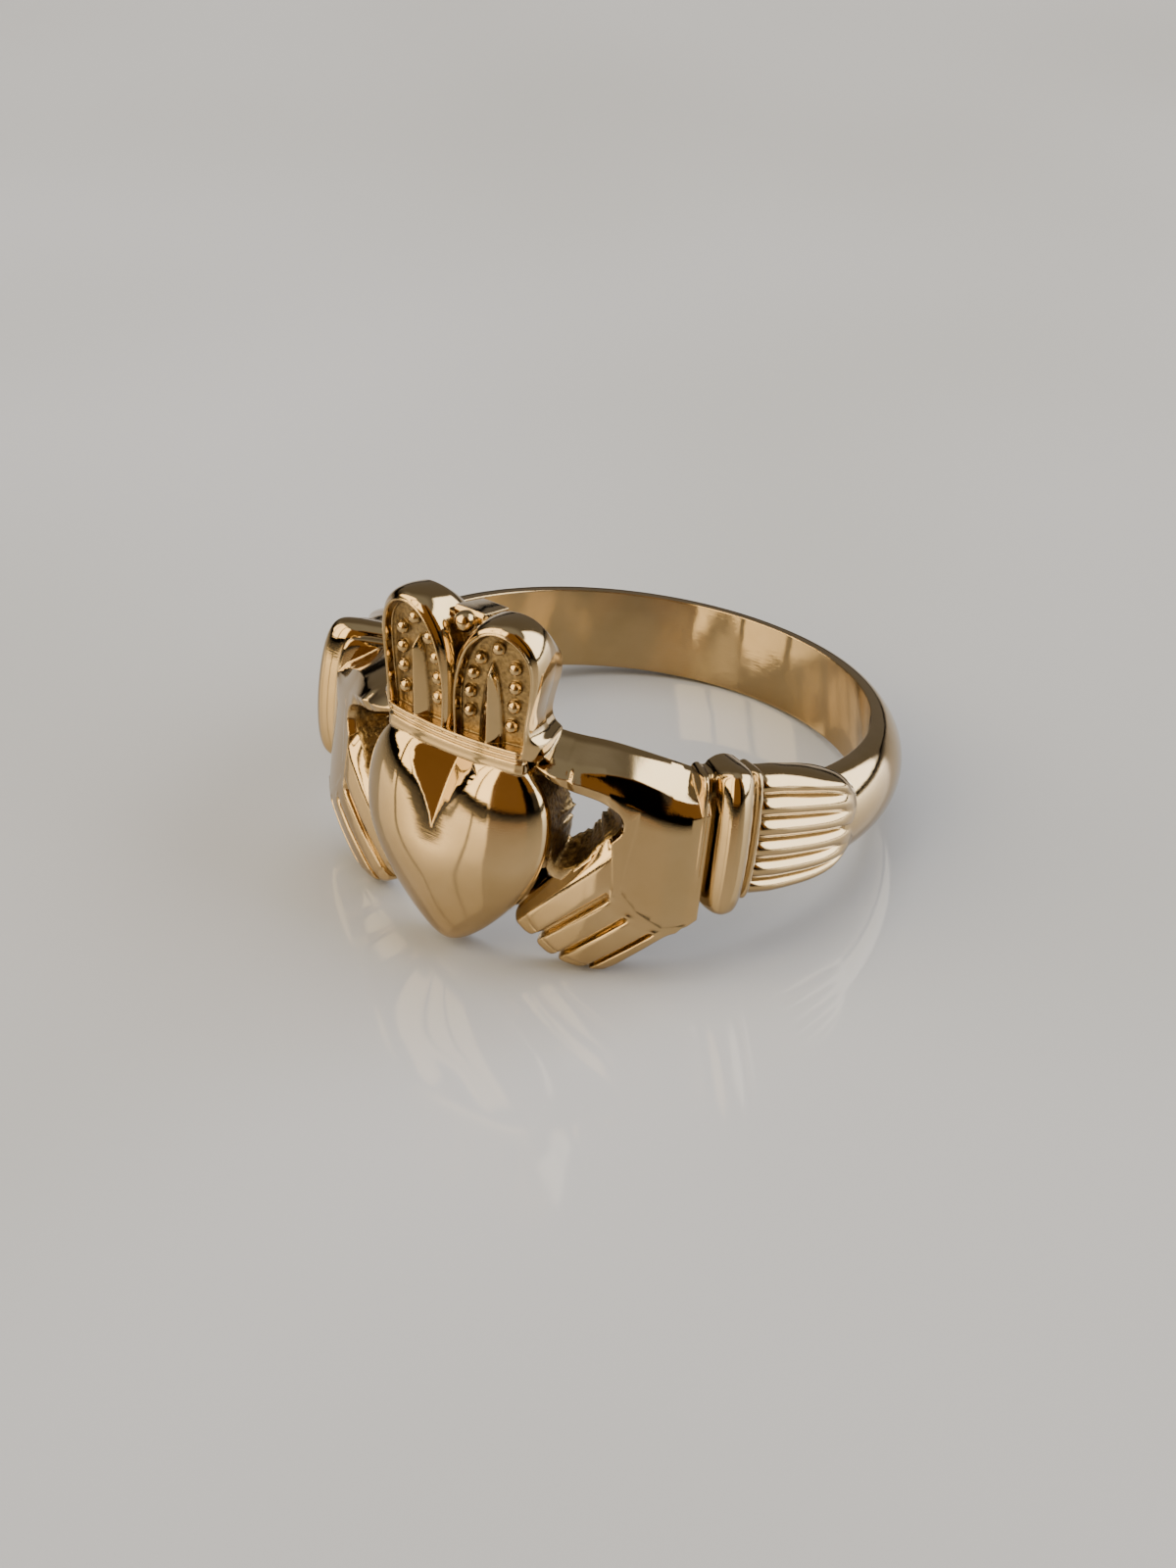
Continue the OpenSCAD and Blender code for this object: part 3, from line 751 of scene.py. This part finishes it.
def polished_gold():
    """14 carat yellow gold, cast and polished: a warm mirror with hair-fine scratches from wear. Where the
    wheel couldn't reach, in the openings' walls and the panels of the crown, it keeps the casting's grain."""
    material = bpy.data.materials.new("polished_yellow_gold")
    material.use_nodes = True
    tree = material.node_tree
    tree.nodes.clear()
    place = node(tree, "ShaderNodeTexCoord").outputs["Object"]
    cast = node(tree, "ShaderNodeAttribute", attribute_name="as_cast").outputs["Fac"]
    # Grain of the casting, 0.16 mm: darkens the panels and dulls the openings' walls
    grain = node(
        tree, "ShaderNodeTexNoise", [("Vector", place), ("Scale", 6200.0), ("Detail", 3.0), ("Roughness", 0.6)]
    ).outputs["Fac"]
    # Soft unevenness left by hand polishing, about 1.5 mm across: bends the mirrored room a little
    waves = node(
        tree, "ShaderNodeTexNoise", [("Vector", place), ("Scale", 620.0), ("Detail", 2.0)]
    ).outputs["Fac"]
    # Scratches of wear, 0.05 mm wide and 0.7 mm long: break the mirror's edges up
    along = node(
        tree, "ShaderNodeMapping",
        [("Vector", place), ("Rotation", (0.3, 0.5, 0.9)), ("Scale", (1400.0, 22000.0, 22000.0))],
    ).outputs["Vector"]
    scratches = node(
        tree, "ShaderNodeTexNoise", [("Vector", along), ("Scale", 1.0), ("Detail", 1.0)]
    ).outputs["Fac"]
    # Smudges 4 mm across: dull the shine in places
    smudges = node(
        tree, "ShaderNodeTexNoise", [("Vector", place), ("Scale", 260.0), ("Detail", 4.0), ("Roughness", 0.65)]
    ).outputs["Fac"]
    tint = node(
        tree, "ShaderNodeValToRGB", [("Fac", smudges)], [(0.35, linear("#AE9264")), (0.7, linear("#B99D71"))]
    ).outputs["Color"]
    raw = node(
        tree, "ShaderNodeValToRGB", [("Fac", grain)], [(0.35, linear("#4E3D24")), (0.65, linear("#8A7146"))]
    ).outputs["Color"]
    # Gold mirrored in gold keeps more of its green and blue than a product of three colours does
    again = node(tree, "ShaderNodeLightPath").outputs["Is Glossy Ray"]
    polished = node(
        tree, "ShaderNodeMix", [(0, again), (6, tint), (7, linear("#C2B192"))], data_type="RGBA"
    ).outputs[2]
    colour = node(tree, "ShaderNodeMix", [(0, cast), (6, polished), (7, raw)], data_type="RGBA").outputs[2]
    shine = node(
        tree, "ShaderNodeMapRange",
        [("Value", smudges), ("From Min", 0.38), ("From Max", 0.72), ("To Min", 0.04), ("To Max", 0.11)],
    ).outputs["Result"]
    rough = node(tree, "ShaderNodeMix", [(0, cast), (2, shine), (3, 0.36)], data_type="FLOAT").outputs[0]
    # Edges worn round to 0.09 mm
    worn = node(tree, "ShaderNodeBevel", [("Radius", 0.00009)], samples=6).outputs["Normal"]
    wavy = node(
        tree, "ShaderNodeBump", [("Strength", 0.12), ("Distance", 0.0001), ("Height", waves), ("Normal", worn)]
    ).outputs["Normal"]
    scratched = node(
        tree, "ShaderNodeBump",
        [("Strength", 0.06), ("Distance", 0.00002), ("Height", scratches), ("Normal", wavy)],
    ).outputs["Normal"]
    deep = node(tree, "ShaderNodeMath", [(0, grain), (1, cast)], operation="MULTIPLY").outputs[0]
    grainy = node(
        tree, "ShaderNodeBump",
        [("Strength", 0.7), ("Distance", 0.00006), ("Height", deep), ("Normal", scratched)],
    ).outputs["Normal"]
    shader = node(
        tree, "ShaderNodeBsdfPrincipled",
        [("Metallic", 1.0), ("Base Color", colour), ("Roughness", rough), ("Normal", grainy)],
    ).outputs[0]
    node(tree, "ShaderNodeOutputMaterial", [("Surface", shader)])
    return material


def reach(outline, middle, turn):
    """How far a closed outline lies from its middle in each direction, by straight lines between its points."""
    away = outline - middle
    return np.interp(turn, np.arctan2(away[:, 1], away[:, 0]), np.hypot(*away.T), period=2 * np.pi)


def mark_as_cast(mesh):
    """Stores on each vertex how much of the cast grain it keeps: 1 on the openings' walls, less on the panels'
    floors and in the notch under the ball, and 0 on what the polishing wheel reached."""
    places = np.zeros(len(mesh.vertices) * 3, np.float32)
    mesh.vertices.foreach_get("co", places)
    p = places.reshape(-1, 3).astype(float)
    x = np.abs(np.arctan2(p[:, 0], -p[:, 1])) * FACE_R
    t, z = np.hypot(p[:, 0], p[:, 1]) - BORE_R, p[:, 2]
    # The openings' walls: inside the outline as it shrinks, but for the skin of the hand and the finger hole
    s, h = (x - HEART_W / 2) / HAND_W - OPENING_MIDDLE[0], z / WRIST_H - OPENING_MIDDLE[1]
    limit = reach(spline(OPENING, 60, True), OPENING_MIDDLE, np.arctan2(h, s))
    size = 1 - (PALM_T - np.clip(t, 0, PALM_T)) * (1 - OPENING_INNER) / PALM_T
    wall = (np.hypot(s, h) < limit * (size + 0.04)) & (t > 0.02) & (t < 1.6)
    # The panels' floors: about as deep as the panel, inside its edge and above the foot
    depth = (crown_face(z) - t) / PANEL_D
    edge = spline(degrees(PANEL), 80)
    centre = edge.mean(0)
    limit = reach(edge, centre, np.arctan2(z - centre[1], x - centre[0]))
    panel = (z > 3.4) & (depth > 0.72) & (depth < 1.2)
    panel &= np.hypot(x - centre[0], z - centre[1]) < limit * 1.02
    # The notch between the lobes, but for the ball
    notch = (x < 0.9) & (z > 5.6) & (z < 7.5) & (t > 1.2) & (t < 2.15) & (np.hypot(x, z - BALL_Z) > 0.5)
    value = np.where(wall, 1.0, np.where(panel, 0.8, np.where(notch, 0.7, 0.0))).astype(np.float32)
    attribute = mesh.attributes.new("as_cast", "FLOAT", "POINT")
    attribute.data.foreach_set("value", value)


# The ring

hands = [("UNION", both(fingers())), ("UNION", both(web())), ("DIFFERENCE", both(opening()))]
crown = [
    ("UNION", lobe()), ("UNION", mirrored(lobe())), ("UNION", both(leaf())), ("UNION", both(beads())),
    ("UNION", crown_foot()), ("UNION", block()), ("UNION", ball(at(0, BALL_Z, 1.8), BALL_D, 32, 20)),
]
shank = [("UNION", both(cuff_and_sleeve())), ("UNION", band()), ("DIFFERENCE", bore())]
carved = [("UNION", heart()), ("DIFFERENCE", cleft())]
ring = fuse("claddagh_ring_gold", both(hand_back()), hands + carved + crown + shank)
mark_as_cast(ring.data)
ring.data.transform(Matrix.Rotation(-LEAN, 4, "X") @ Matrix.Scale(MM, 4))
ring.data.shade_smooth()
ring.data.set_sharp_from_angle(angle=math.radians(32))
ring.data.materials.clear()
ring.data.materials.append(polished_gold())
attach(ring, "root")
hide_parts("claddagh_ring")


# Floor, light and camera


def floor_material():
    """A pale glossy sheet, such as lacquered board: it mirrors the ring softly and fades in tone from warm to
    cool."""
    material = bpy.data.materials.new("pale_lacquered_board")
    material.use_nodes = True
    tree = material.node_tree
    tree.nodes.clear()
    place = node(tree, "ShaderNodeTexCoord").outputs["Object"]
    # Tone that changes over about 40 mm
    clouds = node(
        tree, "ShaderNodeTexNoise", [("Vector", place), ("Scale", 26.0), ("Detail", 1.0)]
    ).outputs["Fac"]
    tone = node(
        tree, "ShaderNodeValToRGB", [("Fac", clouds)], [(0.3, linear("#919190")), (0.7, linear("#9A9A9B"))]
    ).outputs["Color"]
    shader = node(
        tree, "ShaderNodeBsdfPrincipled", [("Roughness", 0.06), ("IOR", 1.45), ("Base Color", tone)]
    ).outputs[0]
    node(tree, "ShaderNodeOutputMaterial", [("Surface", shader)])
    return material


def card(name, centre, target, size, power, colour):
    """A soft rectangular light that faces the target."""
    light = bpy.data.lights.new(name, "AREA")
    light.shape = "RECTANGLE"
    light.size, light.size_y = size
    light.energy = power
    light.color = linear(colour)[:3]
    made = bpy.data.objects.new(name, light)
    made.location = centre
    made.rotation_euler = (Vector(target) - Vector(centre)).to_track_quat("-Z", "Y").to_euler()
    bpy.context.scene.collection.objects.link(made)
    return made


FLOOR_Z, FLOOR_SIDE = float(cad_box[0].z), 1.2
bpy.ops.mesh.primitive_plane_add(size=FLOOR_SIDE, location=(0, 0, FLOOR_Z))
floor = bpy.context.object
floor.name = "floor"
floor.data.materials.append(floor_material())

ceiling = card("ceiling_light", (-0.04, 0.12, 0.4), (0, 0.02, 0), (0.34, 0.34), 1.8, "#FFFEFC")
# It lights the floor, and the gold mirrors the room instead
ceiling.visible_glossy = False

# The room that the gold mirrors. Each soft-edged patch has the azimuth to the right of the ring's front and the
# elevation of its middle, its half width, its half height and the width of its edge, all in degrees, then its
# colour and brightness
ROOM = [
    (0, 90, 400, 40, 34, "#BFC5CF", 0.85),
    (180, 25, 60, 22, 25, "#BFBDBA", 0.42),
    (-36, 36, 40, 32, 2.5, "#FFEDCB", 6.4),
    (-46, 36, 1.3, 34, 1.2, "#2A1E14", 0.2),
    (-20, 36, 1.0, 34, 1.0, "#2A1E14", 0.2),
    (130, 25, 35, 23, 6, "#F0F5FF", 7.0),
    (28, 38, 25, 36, 2, "#80603A", 1.7),
    (61, 38, 9, 36, 2, "#120C08", 0.12),
    (81, 50, 12, 26, 2, "#80603A", 1.7),
    (-90, 5, 36, 6, 2, "#26241D", 0.25),
    (-28, 3, 28, 2.5, 1.5, "#26241D", 0.25),
    (0, 1.4, 400, 1.8, 0.6, "#1D1712", 0.25),
    (0, -40, 400, 38, 3, "#B9B9B9", 0.7),
]


def room(patches):
    """Azimuth is the arc tangent of x over minus y, elevation the arc sine of z. Each patch is laid over the
    ones before it."""
    world = bpy.data.worlds.new("soft_room")
    bpy.context.scene.world = world
    world.use_nodes = True
    tree = world.node_tree
    tree.nodes.clear()
    direction = node(tree, "ShaderNodeTexCoord").outputs["Generated"]
    x, y, z = node(tree, "ShaderNodeSeparateXYZ", [("Vector", direction)]).outputs
    front = node(tree, "ShaderNodeMath", [(0, y), (1, -1.0)], operation="MULTIPLY").outputs[0]
    angles = [
        node(tree, "ShaderNodeMath", [(0, x), (1, front)], operation="ARCTAN2").outputs[0],
        node(tree, "ShaderNodeMath", [(0, z)], operation="ARCSINE").outputs[0],
    ]
    # What is left between the patches: warm grey
    colour = [0.35 * c for c in linear("#85807A")]
    for *middles, half_w, half_h, soft, tint, power in patches:
        inside = []
        for angle, middle, half in zip(angles, map(math.radians, middles), (half_w, half_h)):
            apart = node(tree, "ShaderNodeMath", [(0, angle), (1, middle)], operation="SUBTRACT").outputs[0]
            half_turn = [(1, math.pi), (2, -math.pi)]
            turn = node(tree, "ShaderNodeMath", [(0, apart), *half_turn], operation="WRAP").outputs[0]
            size = node(tree, "ShaderNodeMath", [(0, turn)], operation="ABSOLUTE").outputs[0]
            limits = [("From Min", math.radians(half)), ("From Max", math.radians(half + soft))]
            inside.append(node(
                tree, "ShaderNodeMapRange", [("Value", size), *limits, ("To Min", 1.0), ("To Max", 0.0)],
                interpolation_type="SMOOTHSTEP",
            ).outputs["Result"])
        mask = node(tree, "ShaderNodeMath", list(enumerate(inside)), operation="MULTIPLY").outputs[0]
        light = [power * c for c in linear(tint)]
        colour = node(tree, "ShaderNodeMix", [(0, mask), (6, colour), (7, light)], data_type="RGBA").outputs[2]
    background = node(tree, "ShaderNodeBackground", [("Color", colour)]).outputs[0]
    node(tree, "ShaderNodeOutputWorld", [("Surface", background)])


room(ROOM)

# The camera's place as solved from the photo, in the ring's own directions: angles in degrees, then the distance
# and how far the ring's middle lies off the picture's middle, in shares of the hole's radius
AZIMUTH, ELEVATION, ROLL = (math.radians(v) for v in (32.28, 25.40, 6.67))
DISTANCE, SHIFT_X, SHIFT_Y = 12.09, 0.145, 0.247
level = math.cos(ELEVATION)
back = Vector((math.sin(AZIMUTH) * level, -math.cos(AZIMUTH) * level, math.sin(ELEVATION)))
right = Vector((math.cos(AZIMUTH), math.sin(AZIMUTH), 0))
up = back.cross(right)
side = right * math.cos(ROLL) + up * math.sin(ROLL)
top = up * math.cos(ROLL) - right * math.sin(ROLL)
eye = (back * DISTANCE - side * SHIFT_X - top * SHIFT_Y) * BORE_R * MM
turned = Matrix((side, top, back)).transposed().to_4x4()
camera = bpy.data.objects.new("camera", bpy.data.cameras.new("camera"))
camera.data.sensor_fit, camera.data.sensor_width, camera.data.lens = "HORIZONTAL", 36.0, 90.0
camera.data.clip_start = 0.005
camera.matrix_world = Matrix.Rotation(-LEAN, 4, "X") @ Matrix.Translation(eye) @ turned
bpy.context.scene.collection.objects.link(camera)
bpy.context.scene.camera = camera
